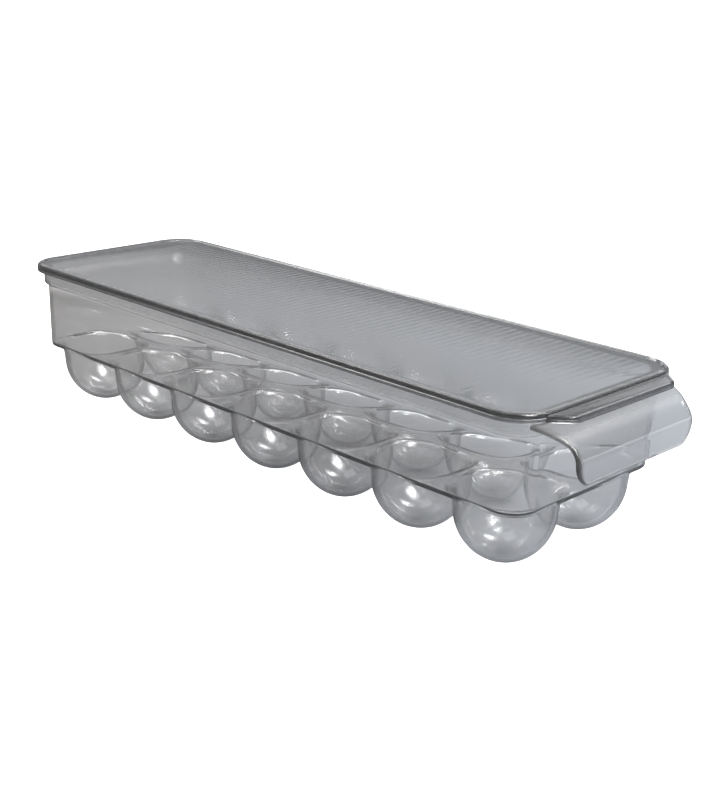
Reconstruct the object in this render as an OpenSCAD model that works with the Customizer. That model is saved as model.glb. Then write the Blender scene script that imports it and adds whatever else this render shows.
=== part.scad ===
// Covered egg holder tray: a clear bin with fourteen round egg cups under its floor,
// a curved pull handle at the front and a lift-off lid with a pull tab.
// +Y points to the back, the handle faces -Y, and the cups rest on z = 0.

/* [Egg cups] */
// Number of cups along the tray
cups_long = 7; // [3:1:7]
// Distance between cup centres along the tray
pitch_long = 47.3; // [47.2:0.1:52]
// Distance between cup centres across the tray
pitch_wide = 50.6; // [48:0.2:56]
// Outer radius of the round bottom of a cup
cup_r = 22.2; // [20:0.1:22.5]
// Outer radius of a cup where it meets the floor
cup_lip_r = 23.2; // [22.6:0.1:23.4]
// Radius of the small flat foot under each cup
foot_r = 4; // [2:0.5:6]

/* [Tray] */
// Width of the tray wall, outside
tray_w = 100; // [98:0.5:110]
// Space between the last cup's centre and the end wall's outside
end_space = 24.5; // [24.5:0.5:30]
// Height of the floor's top above the table
floor_z = 32.1; // [30:0.1:40]
// Height of the wall, from the floor to the rim
wall_h = 32.9; // [20:0.1:50]
// Height of the thicker rim
rim_h = 8.2; // [6:0.1:12]
// How far the rim stands out from the wall
rim_out = 2; // [1:0.1:2.4]
// Wall thickness of the mouldings
skin = 1.6; // [1.2:0.1:2]
// Outer corner radius of the wall
corner_r = 12.7; // [11:0.1:16]

/* [Handle] */
// Reach of the handle in front of the wall
handle_reach = 20.7; // [18:0.1:26]
// Width of the handle along its straight sides
handle_w = 80.6; // [60:0.2:84]
// Extra width where the handle flares into the rim, each side
handle_flare = 5; // [1:0.5:6]
// Height from the handle's lower edge to its highest point
handle_h = 22; // [18:0.2:30]
// Height of the curved part of the handle
handle_bend_h = 13; // [10:0.2:16]
// Thickness of the handle
handle_t = 2.2; // [1.6:0.1:3]
// Radius of the handle's lower corners
handle_corner_r = 10; // [6:1:16]

/* [Lid] */
// Overhang of the lid beyond the wall at the sides
lid_side = 5.2; // [4.2:0.1:6]
// Overhang of the lid beyond the wall at the ends
lid_end = 5.9; // [4.2:0.1:7]
// Depth of the lid's skirt below the top
skirt_h = 4; // [3.4:0.1:6]
// Thickness of the lid's skirt
skirt_t = 1.8; // [1.4:0.1:2]
// Width of the raised land around the panel
land_w = 3.4; // [2.4:0.1:5]
// Depth of the panel below the land
recess = 0.8; // [0.4:0.1:1.2]
// Thickness of the panel
panel_t = 1.8; // [1.4:0.1:2.2]
// Reach of the pull tab in front of the lid
tab_reach = 8.2; // [5:0.1:9]
// Width of the pull tab along its front edge
tab_w = 68; // [50:1:72]
// Radius of the pull tab's corners
tab_r = 5; // [3:0.5:6]
// Depth of the tab's top below the land
tab_drop = 1; // [0.4:0.1:1.2]
// Gap that lets the lid lift off freely
lid_gap = 0.2; // [0.1:0.05:0.3]

/* [Hidden] */
cups = cups_long * 2;
wall_l = (cups_long - 1) * pitch_long + 2 * end_space;
rim_z = floor_z + wall_h;
rim_top = rim_z + rim_h;
lid_low = rim_top + lid_gap;
panel_top = lid_low + panel_t;
total_h = panel_top + recess;
skirt_low = total_h - skirt_h;
wall_in_w = tray_w - 2 * skin;
wall_in_l = wall_l - 2 * skin;

// The handle's front and the lid's back are the ends of the whole object.
front_y = -(wall_l / 2 + handle_reach);
back_y = wall_l / 2 + lid_end;
box_y = -(front_y + back_y) / 2;

// The round bottom is cut by the small foot, so its centre is a little under one radius high.
bowl_z = sqrt(cup_r * cup_r - foot_r * foot_r);
bowl_in_r = cup_r - skin;
lip_in_r = cup_lip_r - skin;

// The handle leaves the rim just under the lid's skirt.
handle_top = skirt_low - 1.6;
handle_low = handle_top - handle_h;
bend_z = handle_top - handle_bend_h;
bend_steps = 12;

lid_w = tray_w + 2 * lid_side;
lid_l = wall_l + 2 * lid_end;
lid_r = corner_r + lid_end - 0.3;
tab_y = -lid_l / 2 - tab_reach;
// How far a 45 degree corner's arc reaches along its sides.
tab_tangent = tab_r * tan(22.5);

tray_color = [0.66, 0.67, 0.69, 0.55];
lid_color = [0.58, 0.58, 0.59, 0.6];

$fn = 64;

// Moves a child from the tray wall's own centre to the object's frame.
module in_tray() {
    translate([0, box_y, 0]) children();
}

// Flat rectangle with round corners, centred on the origin.
module round_rect(w, l, r) {
    square([w - 2 * r, l], center = true);
    square([w, l - 2 * r], center = true);
    for (sx = [-1, 1], sy = [-1, 1]) {
        translate([sx * (w / 2 - r), sy * (l / 2 - r)]) circle(r);
    }
}

// Upright plate with round corners, from z0 up to z1.
module slab(w, l, r, z0, z1) {
    translate([0, 0, z0]) linear_extrude(z1 - z0) round_rect(w, l, r);
}

// Centre of a cup: odd numbers are the row at -X and even numbers the row at +X,
// counted from the handle to the back.
function cup_x(i) = (i % 2 == 0 ? -1 : 1) * pitch_wide / 2;
function cup_y(i) = (floor(i / 2) - (cups_long - 1) / 2) * pitch_long;

// Half section of a bowl: a round bottom under a slightly flared band.
module bowl_section(r, lip_r, top_z) {
    intersection() {
        translate([0, bowl_z]) circle(r);
        square([r, bowl_z]);
    }
    polygon([[0, bowl_z], [r, bowl_z], [lip_r, floor_z - skin], [lip_r, top_z], [0, top_z]]);
}

module egg_cup(i) {
    color(tray_color) in_tray() translate([cup_x(i), cup_y(i), 0]) rotate_extrude() {
        difference() {
            bowl_section(cup_r, cup_lip_r, floor_z);
            bowl_section(bowl_in_r, lip_in_r, floor_z + 1);
        }
    }
}

module cup_floor() {
    color(tray_color) in_tray() difference() {
        slab(tray_w, wall_l, corner_r, floor_z - skin, floor_z);
        for (i = [0 : cups - 1]) {
            translate([cup_x(i), cup_y(i), floor_z - skin - 1]) cylinder(r = cup_lip_r, h = skin + 2);
        }
    }
}

module side_wall() {
    color(tray_color) in_tray() difference() {
        slab(tray_w, wall_l, corner_r, floor_z, rim_z);
        slab(wall_in_w, wall_in_l, corner_r - skin, floor_z - 1, rim_z + 1);
    }
}

module rim_outline() {
    round_rect(tray_w + 2 * rim_out, wall_l + 2 * rim_out, corner_r + rim_out);
}

module tray_rim() {
    color(tray_color) in_tray() difference() {
        translate([0, 0, rim_z]) linear_extrude(rim_h) rim_outline();
        slab(wall_in_w, wall_in_l, corner_r - skin, rim_z - 1, rim_top + 1);
    }
}

// Side section of the handle: a quarter ellipse that ends in a straight drop.
// The first coordinate is the reach from the wall, the second the height.
function bend(reach, h) = [for (k = [0 : bend_steps]) [
    reach * sin(90 * k / bend_steps),
    bend_z + h * cos(90 * k / bend_steps)
]];

module handle_section() {
    outer = bend(handle_reach, handle_bend_h);
    inner = bend(handle_reach - handle_t, handle_bend_h - handle_t);
    polygon(concat(
        outer,
        [[handle_reach, handle_low], [handle_reach - handle_t, handle_low]],
        [for (k = [bend_steps : -1 : 0]) inner[k]]
    ));
}

// Front outline of the handle: round lower corners and a flare where it meets the rim.
module handle_front() {
    low_z = handle_low + handle_corner_r;
    half = handle_w / 2;
    translate([-half, low_z]) square([handle_w, handle_top - low_z + 1]);
    translate([-half + handle_corner_r, handle_low]) {
        square([handle_w - 2 * handle_corner_r, handle_corner_r + 1]);
    }
    for (s = [-1, 1]) {
        translate([s * (half - handle_corner_r), low_z]) circle(handle_corner_r);
    }
    polygon([
        [-half, bend_z + handle_bend_h / 2], [half, bend_z + handle_bend_h / 2],
        [half + handle_flare, handle_top + 1], [-half - handle_flare, handle_top + 1]
    ]);
}

module pull_handle() {
    color(tray_color) in_tray() difference() {
        translate([0, -wall_l / 2, 0]) intersection() {
            rotate([90, 0, -90]) linear_extrude(lid_w, center = true) handle_section();
            rotate([90, 0, 0]) linear_extrude(handle_reach + 1) handle_front();
        }
        translate([0, 0, rim_z - 5]) linear_extrude(rim_h + 10) rim_outline();
    }
}

// A plate with the lid's outline, inset by a, from z0 up to z1.
module lid_slab(a, z0, z1) {
    slab(lid_w - 2 * a, lid_l - 2 * a, lid_r - a, z0, z1);
}

module lid_rim() {
    color(lid_color) in_tray() {
        difference() {
            lid_slab(0, skirt_low, total_h);
            lid_slab(skirt_t, skirt_low - 1, lid_low);
            lid_slab(land_w, lid_low - 1, total_h + 1);
        }
    }
}

module lid_panel() {
    color(lid_color) in_tray() lid_slab(land_w, lid_low, panel_top);
}

// Outline of the tab: slanted flanks, two round front corners, and a root inside the lid.
// The inset moves every edge inwards.
module tab_outline(inset) {
    half = tab_w / 2 - inset * tan(22.5);
    front = tab_y + inset;
    edge = -lid_l / 2;
    root = edge + lid_r;
    side = half + edge - front;
    arc_end = tab_tangent * cos(45);
    polygon([
        [-half + tab_tangent, front], [half - tab_tangent, front],
        [half + arc_end, front + arc_end], [side, edge], [side, root],
        [-side, root], [-side, edge], [-half - arc_end, front + arc_end]
    ]);
    for (s = [-1, 1]) {
        translate([s * (half - tab_tangent), front + tab_r]) circle(tab_r);
    }
}

module lid_pull_tab() {
    tab_top = total_h - tab_drop;
    color(lid_color) in_tray() difference() {
        translate([0, 0, skirt_low]) linear_extrude(tab_top - skirt_low) tab_outline(0);
        lid_slab(0, skirt_low - 1, total_h + 1);
        translate([0, 0, skirt_low - 1]) {
            linear_extrude(tab_top - skirt_low - panel_t + 1) tab_outline(skirt_t);
        }
    }
}

egg_cup(0);  // egg_cup_01
egg_cup(1);  // egg_cup_02
egg_cup(2);  // egg_cup_03
egg_cup(3);  // egg_cup_04
egg_cup(4);  // egg_cup_05
egg_cup(5);  // egg_cup_06
egg_cup(6);  // egg_cup_07
egg_cup(7);  // egg_cup_08
egg_cup(8);  // egg_cup_09
egg_cup(9);  // egg_cup_10
egg_cup(10);  // egg_cup_11
egg_cup(11);  // egg_cup_12
egg_cup(12);  // egg_cup_13
egg_cup(13);  // egg_cup_14
cup_floor();
side_wall();
tray_rim();
pull_handle();
lid_rim();
lid_panel();
lid_pull_tab();
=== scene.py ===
"""Covered egg holder tray: the tray and its lift-off lid, each as one clear smoke-tinted moulding."""

import math

import bmesh
import bpy
from mathutils import Matrix, Vector
from mathutils.geometry import delaunay_2d_cdt


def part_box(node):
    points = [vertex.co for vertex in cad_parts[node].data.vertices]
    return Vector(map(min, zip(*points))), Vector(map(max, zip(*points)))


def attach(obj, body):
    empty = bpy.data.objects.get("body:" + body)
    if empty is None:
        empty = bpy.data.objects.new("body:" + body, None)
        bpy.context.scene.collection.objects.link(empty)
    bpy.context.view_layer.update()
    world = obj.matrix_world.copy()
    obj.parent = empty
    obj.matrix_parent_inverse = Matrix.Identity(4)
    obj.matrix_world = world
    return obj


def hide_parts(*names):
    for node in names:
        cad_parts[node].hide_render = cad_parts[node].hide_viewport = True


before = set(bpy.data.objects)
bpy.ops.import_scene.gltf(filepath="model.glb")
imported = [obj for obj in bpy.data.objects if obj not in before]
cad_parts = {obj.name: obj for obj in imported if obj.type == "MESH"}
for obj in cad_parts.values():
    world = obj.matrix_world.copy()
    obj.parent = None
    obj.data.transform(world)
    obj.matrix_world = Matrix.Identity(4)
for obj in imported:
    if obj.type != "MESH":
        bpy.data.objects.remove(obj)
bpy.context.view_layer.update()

MM = 0.001
RIGHT_ANGLE = math.pi / 2


# ---------------------------------------------------------------- sizes taken from the CAD part, in mm

def span(node):
    """Lowest and highest corner of a CAD node in mm."""
    lo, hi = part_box(node)
    return lo / MM, hi / MM


WALL_LO, WALL_HI = span("side_wall")
RIM_LO, RIM_HI = span("tray_rim")
FLOOR_LO, FLOOR_HI = span("cup_floor")
HANDLE_LO, HANDLE_HI = span("pull_handle")
LID_LO, LID_HI = span("lid_rim")
PANEL_LO, PANEL_HI = span("lid_panel")
TAB_LO, TAB_HI = span("lid_pull_tab")

CENTRE_Y = (WALL_LO.y + WALL_HI.y) / 2
WALL_HALF = ((WALL_HI.x - WALL_LO.x) / 2, (WALL_HI.y - WALL_LO.y) / 2)
RIM_OUT = RIM_HI.x - WALL_HI.x
LID_HALF = ((LID_HI.x - LID_LO.x) / 2, (LID_HI.y - LID_LO.y) / 2)
CORNER_R = 12.7
LID_R = 18.3
SKIN = 1.6

CUP_NODES = [f"egg_cup_{number:02d}" for number in range(1, 15)]
CUPS_LONG = 7
CUPS = []
for cup_node in CUP_NODES:
    lo, hi = span(cup_node)
    CUPS.append(((lo.x + hi.x) / 2, (lo.y + hi.y) / 2))

CUP_X = (max(x for x, _ in CUPS) - min(x for x, _ in CUPS)) / 2
CUP_PITCH = (max(y for _, y in CUPS) - min(y for _, y in CUPS)) / (CUPS_LONG - 1)
CUP_Y = CUPS[0][1]


# ---------------------------------------------------------------- a small mesh builder

class Skin:
    """Rings of points joined into one closed skin."""

    def __init__(self):
        self.points = []
        self.faces = []

    def ring(self, points):
        first = len(self.points)
        self.points.extend(points)
        return list(range(first, len(self.points)))

    def bridge(self, a, b, closed=True):
        count = len(a)
        for i in range(count if closed else count - 1):
            j = (i + 1) % count
            self.faces.append((a[i], a[j], b[j], b[i]))

    def loft(self, rings, closed=True):
        for a, b in zip(rings, rings[1:]):
            self.bridge(a, b, closed)

    def cap(self, ring, point):
        centre = self.ring([point])[0]
        count = len(ring)
        for i in range(count):
            self.faces.append((ring[i], ring[(i + 1) % count], centre))

    def plate(self, outer, holes, keep):
        """Flat face between an outer loop and its holes; keep says which triangles stay."""
        ids = list(outer)
        painted_edge_shade = []
        start = 0
        for loop in [outer] + list(holes):
            if loop is not outer:
                ids.extend(loop)
            count = len(loop)
            painted_edge_shade.extend((start + i, start + (i + 1) % count) for i in range(count))
            start += count
        flat = [Vector(self.points[i][:2]) for i in ids]
        made = delaunay_2d_cdt(flat, painted_edge_shade, [], 0, 1e-7)
        verts, faces, origin = made[0], made[2], made[3]
        for face in faces:
            middle = sum((verts[i] for i in face), Vector((0, 0))) / 3
            if keep(middle.x, middle.y):
                self.faces.append(tuple(ids[origin[i][0]] for i in face))

    def mesh(self, name):
        data = bpy.data.meshes.new(name)
        data.from_pydata([Vector(p) * MM for p in self.points], [], self.faces)
        bm = bmesh.new()
        bm.from_mesh(data)
        bmesh.ops.recalc_face_normals(bm, faces=bm.faces)
        bm.to_mesh(data)
        bm.free()
        thing = bpy.data.objects.new(name, data)
        bpy.context.scene.collection.objects.link(thing)
        return thing


CORNER_STEPS = 14


def round_rect(half, radius, offset, z):
    """Closed loop of a rectangle with round corners, moved outwards by offset."""
    points = []
    for k, (sx, sy) in enumerate(((1, 1), (-1, 1), (-1, -1), (1, -1))):
        cx = sx * (half[0] - radius)
        cy = sy * (half[1] - radius) + CENTRE_Y
        for i in range(CORNER_STEPS + 1):
            a = RIGHT_ANGLE * (k + i / CORNER_STEPS)
            reach = radius + offset
            points.append((cx + reach * math.cos(a), cy + reach * math.sin(a), z))
    return points


def arc(cx, cz, radius, start, end, steps):
    """Points of an arc in a side section, angles in degrees from the outward axis."""
    out = []
    for i in range(steps + 1):
        a = math.radians(start + (end - start) * i / steps)
        out.append((cx + radius * math.cos(a), cz + radius * math.sin(a)))
    return out


def in_round_rect(x, y, half, radius, offset):
    """True inside the rectangle with round corners moved outwards by offset."""
    dx = max(abs(x) - (half[0] - radius), 0)
    dy = max(abs(y - CENTRE_Y) - (half[1] - radius), 0)
    return math.hypot(dx, dy) < radius + offset


def union(base, extra):
    """Joins extra into base as one solid and removes it."""
    mod = base.modifiers.new("join", "BOOLEAN")
    mod.operation = "UNION"
    mod.solver = "EXACT"
    mod.object = extra
    bpy.context.view_layer.update()
    made = bpy.data.meshes.new_from_object(base.evaluated_get(bpy.context.evaluated_depsgraph_get()))
    base.modifiers.remove(mod)
    base.data = made
    bpy.data.objects.remove(extra)


SMOOTH_ANGLE = math.radians(40)


def finish_mesh(thing, material):
    thing.data.materials.clear()
    thing.data.materials.append(material)
    thing.data.shade_smooth()
    thing.data.set_sharp_from_angle(angle=SMOOTH_ANGLE)


# ---------------------------------------------------------------- the tray moulding

BOWL_RZ = 23.2  # height of the bowl's widest level, and its radius downwards
BOWL_R = 22.1
BAND_R = 22.7  # the upright band between the bowl and its lip
FOOT_DIP = 0.3  # how far the round bottom would pass the flat foot
FILLET_OUT = (0.5, 2.6)
FILLET_IN = (0.9, 3.1)
LIP_STEPS = 8
BAND_STEPS = 5
BOWL_STEPS = 27
CUP_SEGMENTS = 72
# A lip is a polygon, so the middles of its outer triangles lie slightly inside the circle.
HOLE_SLACK = 0.9985

DRAFT = 0.4
EDGE_R = 0.6  # outer lower edge of the wall
TOP_R = 0.5  # both upper edges of the rim
FLOOR_CORNER_R = 0.3  # inner corner between wall and floor
# The step under the rim, as (outwards, up) from the rim's lower edge.
RIM_STEP = ((0, -0.9), (0.12, -0.45), (0.45, -0.1), (1.2, 0.15), (1.7, 0.4))


def lip_fillet(fillet, angle):
    """Radius of the soft lip: small where cups meet each other or the wall, large in between."""
    return fillet[0] + fillet[1] * math.sin(2 * angle) ** 2


def bowl_section(thickness, fillet, top_z, low_z):
    """Side section of a bowl from the floor plate down to its foot."""
    r_band = BAND_R - thickness
    r_bowl = BOWL_R - thickness
    height = BOWL_RZ + FOOT_DIP - thickness
    section = []
    for i in range(LIP_STEPS + 1):
        a = RIGHT_ANGLE * i / LIP_STEPS
        section.append((r_band + fillet - fillet * math.sin(a), top_z - fillet + fillet * math.cos(a)))
    start = section[-1]
    for i in range(1, BAND_STEPS):
        f = i / BAND_STEPS
        section.append((start[0] + (r_bowl - start[0]) * f, start[1] + (BOWL_RZ - start[1]) * f))
    for i in range(BOWL_STEPS):
        a = RIGHT_ANGLE * i / BOWL_STEPS
        section.append((r_bowl * math.cos(a), max(BOWL_RZ - height * math.sin(a), low_z)))
    return section


def wall_section(under_z, top_z):
    """Side section of wall and rim as (outwards, height), from the floor's underside round to its top."""
    rim_z, rim_top = RIM_LO.z, RIM_HI.z
    outside = [(-DRAFT - EDGE_R, under_z)]
    outside += arc(-DRAFT - EDGE_R, under_z + EDGE_R, EDGE_R, -75, 0, 5)
    outside += [(-DRAFT * 0.5, (under_z + rim_z) / 2)]
    outside += [(out, rim_z + rise) for out, rise in RIM_STEP]
    outside += [(RIM_OUT - 0.05, rim_z + 0.85), (RIM_OUT, rim_z + 1.4), (RIM_OUT, rim_top - TOP_R)]
    outside += arc(RIM_OUT - TOP_R, rim_top - TOP_R, TOP_R, 22, 90, 3)
    inside = arc(-SKIN + TOP_R, rim_top - TOP_R, TOP_R, 90, 180, 4)
    inside += [(-SKIN, rim_z), (-SKIN - DRAFT * 0.5, (top_z + rim_z) / 2), (-SKIN - DRAFT, top_z + 0.5)]
    inside += arc(-SKIN - DRAFT - FLOOR_CORNER_R, top_z + FLOOR_CORNER_R, FLOOR_CORNER_R, 0, -90, 3)[1:]
    return outside + inside


def build_tray():
    skin = Skin()
    under_z, top_z = FLOOR_LO.z, FLOOR_HI.z
    section = wall_section(under_z, top_z)
    rings = [skin.ring(round_rect(WALL_HALF, CORNER_R, d, z)) for d, z in section]
    skin.loft(rings)
    # The bowls, outer skin then inner skin.
    angles = [2 * math.pi * i / CUP_SEGMENTS for i in range(CUP_SEGMENTS)]
    for thickness, fillet, z, low, edge_loop, edge in (
        (0, FILLET_OUT, under_z, 0, rings[0], section[0][0]),
        (SKIN, FILLET_IN, top_z, SKIN, rings[-1], section[-1][0]),
    ):
        profiles = [bowl_section(thickness, lip_fillet(fillet, a), z, low) for a in angles]
        holes = []
        for cx, cy in CUPS:
            loops = []
            for level in zip(*profiles):
                loops.append(skin.ring([
                    (cx + r * math.cos(a), cy + r * math.sin(a), h)
                    for a, (r, h) in zip(angles, level)
                ]))
            skin.loft(loops)
            skin.cap(loops[-1], (cx, cy, low))
            holes.append(loops[0])

        def keep(x, y):
            if not in_round_rect(x, y, WALL_HALF, CORNER_R, edge):
                return False
            for cx, cy in CUPS:
                lip = BAND_R - thickness + lip_fillet(fillet, math.atan2(y - cy, x - cx))
                if math.hypot(x - cx, y - cy) < lip * HOLE_SLACK:
                    return False
            return True

        skin.plate(edge_loop, holes, keep)
    return skin.mesh("tray_moulding")


HANDLE_T = 2.2
HANDLE_BEND = 13.0
HANDLE_FLARE = 5.0
HANDLE_FLARE_POWER = 1.6
HANDLE_CORNER = 10.0
HANDLE_SIDE = 40.3
HANDLE_EDGE = HANDLE_T * 0.45  # how far the round edge stands out past the plate
HANDLE_ROOT = 0.5  # how far the plate starts inside the rim
HANDLE_BENDS = 26
HANDLE_DROPS = 16
HANDLE_COLUMNS = 24
HANDLE_EDGE_ANGLES = (60, 30, 0, -30, -60)


def build_handle():
    """Curved plate: a quarter ellipse out of the rim, then a short straight drop."""
    front = WALL_LO.y
    reach = front - HANDLE_LO.y
    top, low = HANDLE_HI.z, HANDLE_LO.z
    bend_z = top - HANDLE_BEND
    # Outer section points with their outward normals, as (reach, height).
    section = [((-HANDLE_ROOT, top), (0, 1))]
    for i in range(HANDLE_BENDS + 1):
        a = RIGHT_ANGLE * i / HANDLE_BENDS
        nx, nz = math.sin(a) / reach, math.cos(a) / HANDLE_BEND
        size = math.hypot(nx, nz)
        section.append(((reach * math.sin(a), bend_z + HANDLE_BEND * math.cos(a)), (nx / size, nz / size)))
    for i in range(1, HANDLE_DROPS + 1):
        f = i / HANDLE_DROPS
        section.append(((reach, bend_z + (low + HANDLE_EDGE - bend_z) * math.sin(f * RIGHT_ANGLE)), (1, 0)))

    def half_width(z):
        half = HANDLE_SIDE
        flare_z = bend_z + HANDLE_BEND / 2
        if z > flare_z:
            half += HANDLE_FLARE * ((z - flare_z) / (top - flare_z)) ** HANDLE_FLARE_POWER
        rise = z - low
        if rise < HANDLE_CORNER:
            half += math.sqrt(max(HANDLE_CORNER ** 2 - (HANDLE_CORNER - rise) ** 2, 0)) - HANDLE_CORNER
        return half - HANDLE_EDGE

    columns = HANDLE_COLUMNS
    outer, inner = [], []
    skin = Skin()
    middle = []
    for (r, z), (nr, nz) in section:
        half = half_width(z)
        mid = (r - nr * HANDLE_T / 2, z - nz * HANDLE_T / 2)
        row = [Vector((half * (2 * j / columns - 1), front - mid[0], mid[1])) for j in range(columns + 1)]
        normal = Vector((0, -nr, nz))
        middle.append((row, normal))
        outer.append(skin.ring([p + normal * HANDLE_T / 2 for p in row]))
        inner.append(skin.ring([p - normal * HANDLE_T / 2 for p in row]))
    skin.loft(outer, closed=False)
    skin.loft(inner, closed=False)
    # The round edge all the way round the plate.
    rows = len(section)
    path = [(0, j) for j in range(columns + 1)]
    path += [(i, columns) for i in range(1, rows)]
    path += [(rows - 1, j) for j in range(columns - 1, -1, -1)]
    path += [(i, 0) for i in range(rows - 2, 0, -1)]
    count = len(path)
    heart = middle[rows // 2][0][columns // 2]
    loops = [[outer[i][j] for i, j in path]]
    for angle in HANDLE_EDGE_ANGLES:
        a = math.radians(angle)
        ring = []
        for k, (i, j) in enumerate(path):
            row, normal = middle[i]
            before, after = path[k - 1], path[(k + 1) % count]
            tangent = (middle[after[0]][0][after[1]] - middle[before[0]][0][before[1]]).normalized()
            away = tangent.cross(normal).normalized()
            if away.dot(row[j] - heart) < 0:
                away = -away
            ring.append(row[j] + away * HANDLE_EDGE * math.cos(a) + normal * HANDLE_T / 2 * math.sin(a))
        loops.append(skin.ring(ring))
    loops.append([inner[i][j] for i, j in path])
    skin.loft(loops)
    return skin.mesh("handle_part")


# ---------------------------------------------------------------- the lid moulding

LAND_R = 1.35  # outer upper edge of the lid
SKIRT_IN_R = 0.4
SKIRT_OUT_R = 0.45
PANEL_CORNER_R = 0.5
# From the flat land down into the recessed panel, as (outwards, drop below the top).
LAND_ROLL = ((-2.1, 0.02), (-2.6, 0.1), (-2.95, 0.26), (-3.25, 0.5), (-3.5, 0.68), (-3.8, 0.77))
PANEL_EDGE = -4.2

RIB_PITCH = 4.28
RIB_HEIGHT = 0.03
RIB_MARGIN = 9.0
RIB_FADE = 0.75  # share of the height that is gone at the back end
RIB_SHARPNESS = 1.5
RIB_STEPS = 8
RIB_ENDS = (0.0, 0.35, 0.8, 1.0)  # how a rib rises from nothing at its ends
RIB_END_STEP = 1.6


def build_lid():
    skin = Skin()
    low, top = LID_LO.z, LID_HI.z
    panel_low, panel_top = PANEL_LO.z, PANEL_HI.z
    section = [(-2.7, panel_low)]
    section += arc(-2.3, panel_low - PANEL_CORNER_R, PANEL_CORNER_R, 90, 0, 4)[1:]
    section += arc(-1.4, low + SKIRT_IN_R, SKIRT_IN_R, 180, 270, 4)
    section += arc(-SKIRT_OUT_R, low + SKIRT_OUT_R, SKIRT_OUT_R, -90, 0, 4)
    section += arc(-LAND_R, top - LAND_R, LAND_R, 0, 90, 9)
    section += [(out, top - drop) for out, drop in LAND_ROLL]
    section += [(PANEL_EDGE, panel_top)]
    rings = [skin.ring(round_rect(LID_HALF, LID_R, d, z)) for d, z in section]
    skin.loft(rings)
    # Underside of the panel.
    skin.plate(rings[0], [], lambda x, y: in_round_rect(x, y, LID_HALF, LID_R, section[0][0]))
    # Ribs across the top of the panel, fading out near its sides and towards the back.
    half_x = LID_HALF[0] - RIB_MARGIN
    half_y = LID_HALF[1] - RIB_MARGIN
    steps = range(len(RIB_ENDS))
    xs = [-half_x + RIB_END_STEP * i for i in steps]
    xs += [-half_x / 3, half_x / 3]
    xs += [half_x - RIB_END_STEP * i for i in reversed(steps)]
    weight = list(RIB_ENDS) + [1.0, 1.0] + list(reversed(RIB_ENDS))
    rows = []
    total = int(2 * half_y / RIB_PITCH) * RIB_STEPS
    for k in range(total + 1):
        y = CENTRE_Y - half_y + 2 * half_y * k / total
        wave = 0.5 - 0.5 * math.cos(2 * math.pi * k / RIB_STEPS)
        back = min(max((y - CENTRE_Y) / half_y, 0), 1)
        lift = RIB_HEIGHT * wave ** RIB_SHARPNESS * (1 - RIB_FADE * back)
        rows.append(skin.ring([(x, y, panel_top + lift * w) for x, w in zip(xs, weight)]))
    skin.loft(rows, closed=False)
    border = list(rows[0]) + [r[-1] for r in rows[1:]] + list(reversed(rows[-1]))[1:]
    border += [r[0] for r in reversed(rows[1:-1])]

    def frame_only(x, y):
        inside = abs(x) < half_x and abs(y - CENTRE_Y) < half_y
        return in_round_rect(x, y, LID_HALF, LID_R, section[-1][0]) and not inside

    skin.plate(rings[-1], [border], frame_only)
    return skin.mesh("lid_moulding")


TAB_R = 5.0
TAB_HALF = 34.0
TAB_ROOT = 1.3  # how far the tab starts inside the lid's edge
TAB_TOP_R = 1.0
TAB_STEPS = 8
TAB_EIGHTH = math.tan(math.radians(22.5))
# The tab's hollow foot, as (inset, up) from its lower edge.
TAB_FOOT = ((0, 0.4), (0.12, 0.12), (0.4, 0), (1.4, 0), (1.7, 0.12), (1.8, 0.4))


def build_tab():
    """Pull tab: slanted flanks, round front corners, hollow underneath."""
    front = TAB_LO.y
    edge = LID_LO.y
    low, top = LID_LO.z + 0.05, TAB_HI.z
    root = edge + TAB_ROOT

    def outline(inset, z):
        """Loop from the left root round the front to the right root, inset on its three free sides."""
        y = front + inset
        h = TAB_HALF - inset * TAB_EIGHTH
        radius = max(TAB_R - inset, 0.4)
        tangent = radius * TAB_EIGHTH
        points = []
        side = h + edge - y
        points.append((side, root, z))
        points.append((side, edge, z))
        # Each corner turns by 45 degrees: from the right flank to the front, then to the left flank.
        cx, cy = h - tangent, y + radius
        for centre, start in ((cx, -45), (-cx, -90)):
            for i in range(TAB_STEPS + 1):
                a = math.radians(start - 45 * i / TAB_STEPS)
                points.append((centre + radius * math.cos(a), cy + radius * math.sin(a), z))
        points.append((-side, edge, z))
        points.append((-side, root, z))
        return points

    section = [(TAB_TOP_R, top)]
    for degrees in (20, 40, 60, 80, 90):
        a = math.radians(degrees)
        section.append((TAB_TOP_R - TAB_TOP_R * math.sin(a), top - TAB_TOP_R + TAB_TOP_R * math.cos(a)))
    section += [(inset, low + rise) for inset, rise in TAB_FOOT]
    section += [(1.8, top - 2.1), (2.1, top - 1.8)]
    skin = Skin()
    rings = [skin.ring(outline(d, z)) for d, z in section]
    skin.loft(rings)
    for ring in (rings[0], rings[-1]):
        skin.faces.append(tuple(ring))
    return skin.mesh("tab_part")


# ---------------------------------------------------------------- a small node builder

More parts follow.
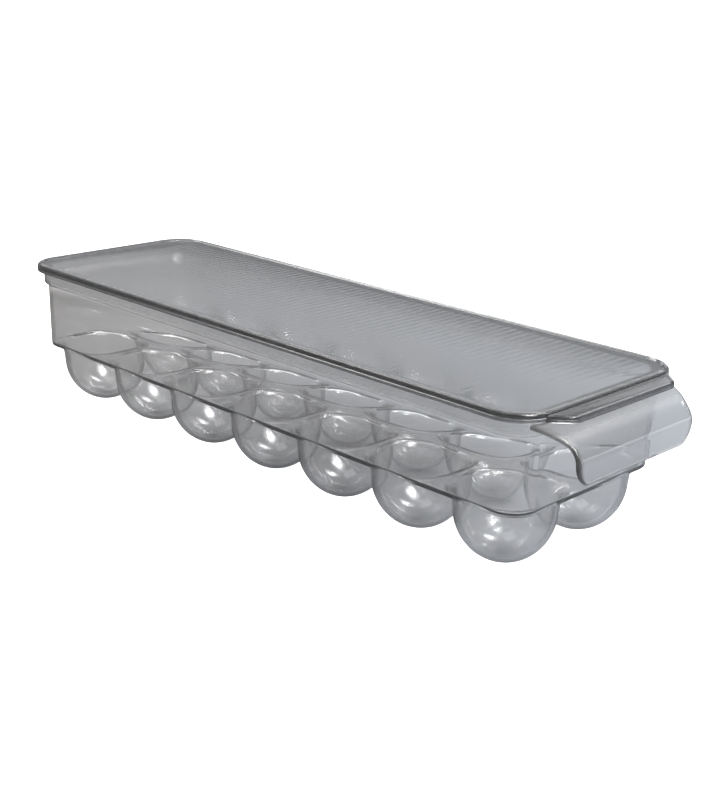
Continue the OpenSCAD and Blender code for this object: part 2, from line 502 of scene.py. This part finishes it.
class Graph:
    """Short calls for one node tree; each value may be a number, a colour or another node's output."""

    def __init__(self, tree):
        self.tree = tree
        tree.nodes.clear()

    def node(self, kind, **settings):
        made = self.tree.nodes.new("ShaderNode" + kind)
        for key, value in settings.items():
            setattr(made, key, value)
        return made

    def put(self, socket, value):
        if isinstance(value, bpy.types.NodeSocket):
            self.tree.links.new(value, socket)
        else:
            socket.default_value = value

    def math(self, operation, *values):
        made = self.node("Math", operation=operation)
        for socket, value in zip(made.inputs, values):
            self.put(socket, value)
        return made.outputs["Value"]

    def vector(self, operation, *values, output="Vector"):
        made = self.node("VectorMath", operation=operation)
        for socket, value in zip(made.inputs, values):
            self.put(socket, value)
        return made.outputs[output]

    def scaled(self, value, factor):
        made = self.node("VectorMath", operation="SCALE")
        self.put(made.inputs[0], value)
        self.put(made.inputs["Scale"], factor)
        return made.outputs["Vector"]

    def map_range(self, value, before=(0, 1), after=(0, 1), soft=False):
        made = self.node("MapRange", interpolation_type="SMOOTHSTEP" if soft else "LINEAR")
        keys = ("Value", "From Min", "From Max", "To Min", "To Max")
        for key, amount in zip(keys, (value, *before, *after)):
            self.put(made.inputs[key], amount)
        return made.outputs["Result"]

    def mix(self, data_type, factor, a, b, blend="MIX"):
        made = self.node("Mix", data_type=data_type, blend_type=blend)
        self.put(made.inputs["Factor"], factor)
        self.put(made.inputs["A"], a)
        self.put(made.inputs["B"], b)
        return made.outputs["Result"]

    def ramp(self, factor, levels, tint=(1.0, 1.0, 1.0)):
        """Colour ramp from (position, grey level) stops."""
        made = self.node("ValToRGB")
        stops = made.color_ramp.elements
        while len(stops) < len(levels):
            stops.new(0.5)
        for stop, (position, level) in zip(stops, levels):
            stop.position = position
            stop.color = (level * tint[0], level * tint[1], level * tint[2], 1)
        self.put(made.inputs["Fac"], factor)
        return made.outputs["Color"]

    def mix_shader(self, factor, a, b):
        made = self.node("MixShader")
        for socket, value in zip(made.inputs, (factor, a, b)):
            self.put(socket, value)
        return made.outputs["Shader"]

    def split(self, vector):
        made = self.node("SeparateXYZ")
        self.put(made.inputs["Vector"], vector)
        return made.outputs


def new_material(name):
    mat = bpy.data.materials.new(name)
    mat.use_nodes = True
    return mat, Graph(mat.node_tree)


# ---------------------------------------------------------------- the plastic

# Painted shade by how far a face turns away from the view (0 square on, 1 edge on): faces are painted
# darker towards edge on.
PAINTED_GLANCING_SHADE = ((0.0, 0.97), (0.60, 0.94), (0.72, 0.66), (0.85, 0.24), (1.0, 0.12))
PAINTED_GLANCING_SHADE_DEEP = ((0.0, 0.98), (0.50, 0.94), (0.62, 0.62), (0.76, 0.20), (1.0, 0.08))
DEEP_SHADE_TINT = (1.0, 0.998, 0.995)
FLAT_TINT = (0.97, 0.97, 0.97, 1)
# Painted shade by how level a face lies (0 upright, 1 level): upright faces are painted darker, the lid's
# most.
TRAY_UPRIGHT_SHADE = ((0.0, 0.97), (1.0, 1.0))
LID_UPRIGHT_SHADE = ((0.0, 0.30), (0.45, 0.36), (0.62, 0.84), (0.97, 1.0))
STEP_SHADE = 0.45

# Where the material changes, in mm. Heights above the ground:
DEEP_SHADE_ZONE = (12, 22)
RIM_HAZE_ZONE = (60, 69)
# Distances in front of the wall:
HANDLE_ZONE = (7, 2)
STEP_KEEP_OFF = (4.5, 2.5)
# Distances below and above the rim's lower edge:
STEP_BELOW = (1.4, 0.7)
STEP_ABOVE = (1.4, 2.2)
# How level a face lies, where it starts to count and where it counts in full.
FLAT_FACES = (0.6, 0.92)
SLOPED_FACES = (0.12, 0.45)


def clear_plastic(name, slot_tint, density, haze, upright_shade, rim_haze, handle_shade):
    """Clear smoke-tinted moulded plastic: gloss with faint flow marks, tint that grows with thickness, and
    painted shade at glancing angles, on upright faces and on the small step under the rim.
    """
    mat, g = new_material(name)
    out = g.node("OutputMaterial")
    skin = g.node("BsdfPrincipled")
    place = g.node("TexCoord").outputs["Object"]
    where = g.split(place)

    def along(axis, low, high, start, end):
        """Value that runs softly from start to end between two places in mm."""
        return g.map_range(where[axis], (low * MM, high * MM), (start, end), soft=True)

    # Painted shade at glancing angles, stronger on the upper part of the bowls, the wall and the rim than
    # on the lower bowls.
    facing = g.node("LayerWeight")
    facing.inputs["Blend"].default_value = 0.5
    edge_shade = g.ramp(facing.outputs["Facing"], PAINTED_GLANCING_SHADE)
    deep_shade = g.ramp(facing.outputs["Facing"], PAINTED_GLANCING_SHADE_DEEP, DEEP_SHADE_TINT)
    painted_edge_shade = g.mix("RGBA", along("Z", *DEEP_SHADE_ZONE, 0, 1), edge_shade, deep_shade)
    # Flat faces keep their clear look; only round and upright ones get the painted shade at a glancing
    # angle.
    level = g.math("ABSOLUTE", g.split(g.node("NewGeometry").outputs["Normal"])["Z"])
    shaded_curves = g.mix("RGBA", g.map_range(level, FLAT_FACES), painted_edge_shade, FLAT_TINT)
    # Upright faces get painted shade, darker the more upright they lie.
    upright_shaded = g.mix("RGBA", 1, shaded_curves, g.ramp(level, upright_shade), blend="MULTIPLY")
    # The handle, a single thick plate, is a little deeper in tone than the thin walls.
    front = WALL_LO.y
    handle = along("Y", front - HANDLE_ZONE[0], front - HANDLE_ZONE[1], handle_shade, 1)
    toned = g.scaled(upright_shaded, handle)
    # The small step under the rim is thick and shaded; the handle beside it isn't.
    window = g.math(
        "MULTIPLY",
        along("Z", RIM_LO.z - STEP_BELOW[0], RIM_LO.z - STEP_BELOW[1], 0, 1),
        along("Z", RIM_LO.z + STEP_ABOVE[0], RIM_LO.z + STEP_ABOVE[1], 1, 0),
    )
    off_handle = along("Y", front - STEP_KEEP_OFF[0], front - STEP_KEEP_OFF[1], 0, 1)
    sloped = g.map_range(level, SLOPED_FACES, (0, off_handle))
    shade = g.map_range(g.math("MULTIPLY", window, sloped), after=(1, STEP_SHADE))
    g.put(skin.inputs["Base Color"], g.scaled(toned, shade))
    skin.inputs["Transmission Weight"].default_value = 0.98
    skin.inputs["IOR"].default_value = 1.56
    # Slightly uneven gloss, with a hazier rim.
    mottling = g.node("TexNoise")
    mottling.inputs["Scale"].default_value = 60
    mottling.inputs["Detail"].default_value = 3
    g.put(mottling.inputs["Vector"], place)
    gloss = g.map_range(mottling.outputs["Fac"], after=haze)
    g.put(skin.inputs["Roughness"], g.math("ADD", gloss, along("Z", *RIM_HAZE_ZONE, 0, rim_haze)))
    # Faint flow marks.
    flow = g.node("TexNoise")
    flow.inputs["Scale"].default_value = 28
    flow.inputs["Detail"].default_value = 1
    g.put(flow.inputs["Vector"], place)
    bump = g.node("Bump")
    bump.inputs["Strength"].default_value = 0.01
    bump.inputs["Distance"].default_value = 0.001
    g.put(bump.inputs["Height"], flow.outputs["Fac"])
    g.put(skin.inputs["Normal"], bump.outputs["Normal"])
    # Light passes straight through to what lies in the plastic's shadow.
    clear = g.node("BsdfTransparent")
    clear.inputs["Color"].default_value = (0.96, 0.96, 0.96, 1)
    shadow = g.node("LightPath").outputs["Is Shadow Ray"]
    g.put(out.inputs["Surface"], g.mix_shader(shadow, skin.outputs["BSDF"], clear.outputs["BSDF"]))
    body = g.node("VolumeAbsorption")
    body.inputs["Color"].default_value = (*slot_tint, 1)
    body.inputs["Density"].default_value = density
    g.put(out.inputs["Volume"], body.outputs["Volume"])
    return mat


SMOKE = (0.45, 0.45, 0.46)
tray_plastic = clear_plastic(
    "tray_clear_plastic", SMOKE, density=90, haze=(0.0, 0.01),
    upright_shade=TRAY_UPRIGHT_SHADE, rim_haze=0.28, handle_shade=0.90,
)
lid_plastic = clear_plastic(
    "lid_clear_plastic", SMOKE, density=110, haze=(0.05, 0.11),
    upright_shade=LID_UPRIGHT_SHADE, rim_haze=0.0, handle_shade=1.0,
)

tray = build_tray()
union(tray, build_handle())
finish_mesh(tray, tray_plastic)
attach(tray, "tray")
TRAY_NODES = CUP_NODES + ["cup_floor", "side_wall", "tray_rim", "pull_handle"]
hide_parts(*TRAY_NODES)

lid = build_lid()
union(lid, build_tab())
finish_mesh(lid, lid_plastic)
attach(lid, "lid")
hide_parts("lid_rim", "lid_panel", "lid_pull_tab")


# ---------------------------------------------------------------- floor

FLOOR_SIZE = 60.0
FLOOR_DROP = 0.0003
FLOOR_SEEN = (0.93, 0.93, 0.93, 1)
FLOOR_LIFT = 0.4
# What the plastic reflects and lets through of the floor, by distance from the middle: a painted shadow,
# darkest under the tray.
FLOOR_SHADOW_LEVELS = (
    (0.0, 0.15), (0.07, 0.29), (0.167, 0.48), (0.26, 0.50), (0.34, 0.36), (0.5, 0.4), (1.0, 1.1),
)
FLOOR_SHADOW_REACH = (1.08, 1.5)
FLOOR_WARM = (0.82, 0.80, 0.79, 1)
FLOOR_COOL = (1.38, 1.47, 1.60, 1)
TINT_REACH = 0.3
SPOT_REACH = 20
SPOT_LEVELS = (0.4, 1.15)


def contact_shadow(g, parts):
    """Factor that dims the floor under each cup's foot, and only under the tray itself."""
    def folded(axis, start, pitch):
        return g.math("PINGPONG", g.math("SUBTRACT", parts[axis], start * MM), pitch * MM / 2)

    # Along x the fold runs from the middle (0) to a cup's centre, along y from a cup's centre outwards.
    spot = g.node("CombineXYZ")
    g.put(spot.inputs["X"], g.math("SUBTRACT", folded("X", 0.0, 2 * CUP_X), CUP_X * MM))
    g.put(spot.inputs["Y"], folded("Y", CUP_Y, CUP_PITCH))
    spread = g.vector("LENGTH", spot.outputs["Vector"], output="Value")
    dim = g.map_range(spread, (0, SPOT_REACH * MM), SPOT_LEVELS, soft=True)
    inside = [
        g.math("COMPARE", parts[axis], middle * MM, reach * MM)
        for axis, middle, reach in (("X", 0.0, WALL_HALF[0]), ("Y", CENTRE_Y, WALL_HALF[1]))
    ]
    return g.mix("FLOAT", g.math("MULTIPLY", *inside), 1.0, dim)


def floor_material(name):
    """Pale surface for the camera, softer grey in what the clear plastic reflects and lets through, with
    painted shadows under the tray and under each cup's foot.
    """
    mat, g = new_material(name)
    out = g.node("OutputMaterial")
    place = g.node("TexCoord").outputs["Object"]
    parts = g.split(place)
    shrink = g.node("Mapping")
    shrink.inputs["Scale"].default_value = (1 / FLOOR_SHADOW_REACH[0], 1 / FLOOR_SHADOW_REACH[1], 0)
    g.put(shrink.inputs["Vector"], place)
    shadow_fall = g.ramp(g.vector("LENGTH", shrink.outputs["Vector"], output="Value"), FLOOR_SHADOW_LEVELS)
    across = g.map_range(g.math("SUBTRACT", parts["X"], parts["Y"]), (-TINT_REACH, TINT_REACH))
    shade = g.mix("RGBA", 1, shadow_fall, g.mix("RGBA", across, FLOOR_WARM, FLOOR_COOL), blend="MULTIPLY")
    grey = g.node("Emission")
    g.put(grey.inputs["Color"], g.scaled(shade, contact_shadow(g, parts)))
    pale = g.node("BsdfDiffuse")
    pale.inputs["Color"].default_value = FLOOR_SEEN
    lift = g.node("Emission")
    lift.inputs["Strength"].default_value = FLOOR_LIFT
    lit = g.node("AddShader")
    g.put(lit.inputs[0], pale.outputs["BSDF"])
    g.put(lit.inputs[1], lift.outputs["Emission"])
    seen = g.node("LightPath").outputs["Is Camera Ray"]
    g.put(out.inputs["Surface"], g.mix_shader(seen, grey.outputs["Emission"], lit.outputs["Shader"]))
    return mat


floor_data = bpy.data.meshes.new("floor")
side = FLOOR_SIZE / 2
floor_corners = [(x * side, y * side, -FLOOR_DROP) for x, y in ((-1, -1), (1, -1), (1, 1), (-1, 1))]
floor_data.from_pydata(floor_corners, [], [(0, 1, 2, 3)])
floor = bpy.data.objects.new("floor", floor_data)
bpy.context.scene.collection.objects.link(floor)
floor_data.materials.append(floor_material("floor_pale"))


# ---------------------------------------------------------------- surroundings

WHITE_STRENGTH = 1.25
BACK_WAY = (0.68, 0.66, 0.25)
BACK_LEVELS = ((0.0, 0.03), (0.5, 0.05), (0.75, 0.16), (1.0, 0.26))
ROOM_TINT = (0.96, 1.0, 1.06)
# Soft oval windows of light: direction, half width and half height in degrees, strength.
GLOWS = (
    ((-0.18, -0.62, 0.777), (10, 16), 36.0),
    ((0.42, -0.26, 0.87), (5, 11), 26.0),
    ((0.05, 0.66, 0.75), (16, 7), 5.0),
    ((0.68, 0.66, 0.0), (40, 3.0), 3.5),
)


def glow(g, way_out, direction, widths, strength):
    """Brightness of one soft oval window in the surroundings, for rays that leave along way_out."""
    way = Vector(direction).normalized()
    level_axis = Vector((0, 0, 1)).cross(way).normalized()
    rise_axis = way.cross(level_axis).normalized()

    def along(axis):
        return g.vector("DOT_PRODUCT", way_out, axis, output="Value")

    parts = [
        g.math("POWER", g.math("DIVIDE", along(axis), math.sin(math.radians(width))), 2)
        for axis, width in zip((level_axis, rise_axis), widths)
    ]
    fall_off = g.math("EXPONENT", g.math("MULTIPLY", g.math("ADD", *parts), -1.0))
    same_side = g.math("GREATER_THAN", along(way), 0.0)
    return g.math("MULTIPLY", g.math("MULTIPLY", fall_off, same_side), strength)


world = bpy.data.worlds.new("studio")
bpy.context.scene.world = world
world.use_nodes = True
sky = Graph(world.node_tree)
sky_out = sky.node("OutputWorld")
white = sky.node("Background")
white.inputs["Color"].default_value = (1, 1, 1, 1)
white.inputs["Strength"].default_value = WHITE_STRENGTH
way_out = sky.node("TexCoord").outputs["Generated"]
toward_back = sky.vector("DOT_PRODUCT", way_out, Vector(BACK_WAY).normalized(), output="Value")
light = None
for one in GLOWS:
    made = glow(sky, way_out, *one)
    light = made if light is None else sky.math("ADD", light, made)
room = sky.node("Background")
sky.put(room.inputs["Color"], sky.vector("ADD", sky.ramp(toward_back, BACK_LEVELS, ROOM_TINT), light))
path = sky.node("LightPath")
seen_white = sky.math("MAXIMUM", path.outputs["Is Camera Ray"], path.outputs["Is Diffuse Ray"])
sky_mix = sky.mix_shader(seen_white, room.outputs["Background"], white.outputs["Background"])
sky.put(sky_out.inputs["Surface"], sky_mix)


# ---------------------------------------------------------------- lamp and camera

LAMP_TARGET = Vector((0, 0, 0.04))


def softbox(name, direction, distance, size, watts):
    """Area light that faces the object's middle from the given direction."""
    data = bpy.data.lights.new(name, "AREA")
    data.shape = "RECTANGLE"
    data.size, data.size_y = size
    data.energy = watts
    lamp = bpy.data.objects.new(name, data)
    way = Vector(direction).normalized()
    lamp.location = LAMP_TARGET + way * distance
    lamp.rotation_euler = way.to_track_quat("Z", "Y").to_euler()
    bpy.context.scene.collection.objects.link(lamp)


softbox("softbox_top", direction=(-0.2, 0.1, 1.0), distance=2.2, size=(1.0, 1.0), watts=6)

# The camera that was fitted to the photograph.
CAMERA_PLACE = (-0.43538, -0.44737, 0.23965)
CAMERA_RIGHT = (0.70140, -0.71221, 0.02828)
CAMERA_FORWARD = (0.68187, 0.65891, -0.31762)
camera_data = bpy.data.cameras.new("camera")
camera_data.lens = 60.06
camera_data.sensor_width = 36
camera_data.clip_start = 0.01
camera = bpy.data.objects.new("camera", camera_data)
right = Vector(CAMERA_RIGHT).normalized()
forward = Vector(CAMERA_FORWARD).normalized()
up = right.cross(forward).normalized()
pose = Matrix((right, up, -forward)).transposed().to_4x4()
pose.translation = CAMERA_PLACE
camera.matrix_world = pose
bpy.context.scene.collection.objects.link(camera)
bpy.context.scene.camera = camera

# Clear plastic several skins deep needs many bounces.
BOUNCES = 32
scene = bpy.context.scene
scene.view_settings.view_transform = "Standard"
scene.cycles.max_bounces = BOUNCES
scene.cycles.transmission_bounces = BOUNCES
scene.cycles.transparent_max_bounces = BOUNCES
scene.cycles.sample_clamp_indirect = 30

bpy.context.view_layer.update()
